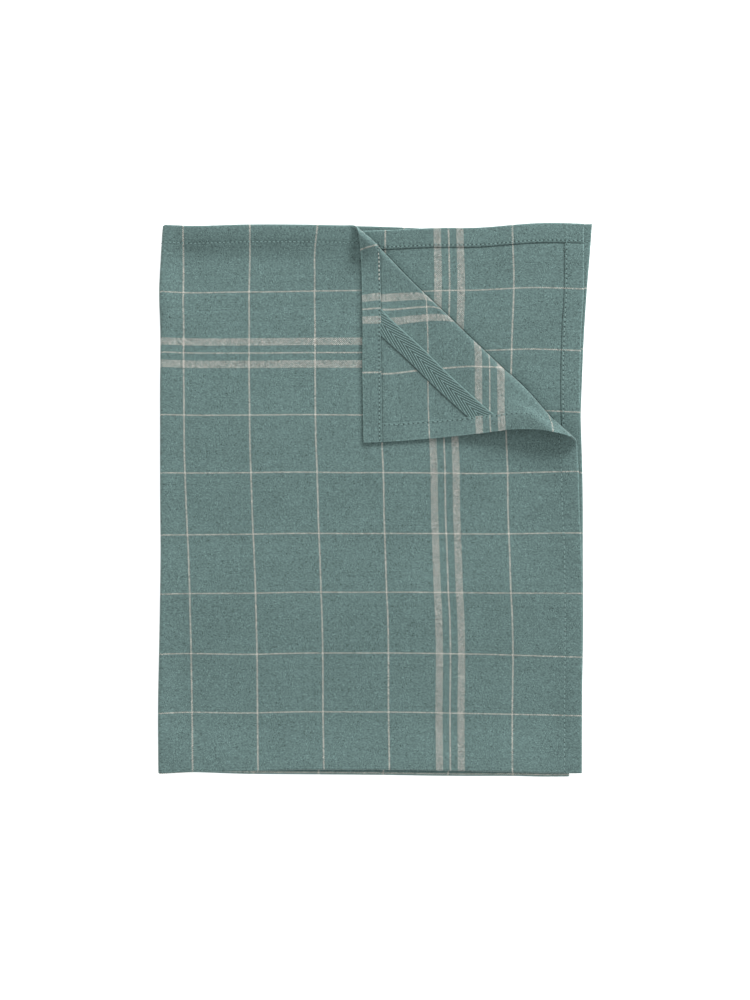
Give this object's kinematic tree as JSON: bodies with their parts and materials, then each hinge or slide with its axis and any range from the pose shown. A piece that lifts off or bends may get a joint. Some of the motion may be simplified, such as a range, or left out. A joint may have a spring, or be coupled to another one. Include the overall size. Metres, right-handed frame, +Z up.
{
  "type": "folded tea towel",
  "caption": "Hemmed woven tea towel folded in four and laid flat, with its upper corner turned back over a diagonal tape hanging loop.",
  "frame": {"origin": "middle of the footprint, on the surface that the towel lies on", "axes": "+Z up from the surface, +Y along the folded length from the end folds to the hemmed ends, +X across from the side fold to the side hems, where the corner is turned back"},
  "size_m": [0.2576, 0.329, 0.0154],
  "materials": {
    "woven_cotton": "matt plain weave",
    "herringbone_tape": "matt herringbone twill"
  },
  "bodies": {
    "root": {"towel": "woven_cotton", "hanging_loop": "herringbone_tape"}
  },
  "joints": []
}
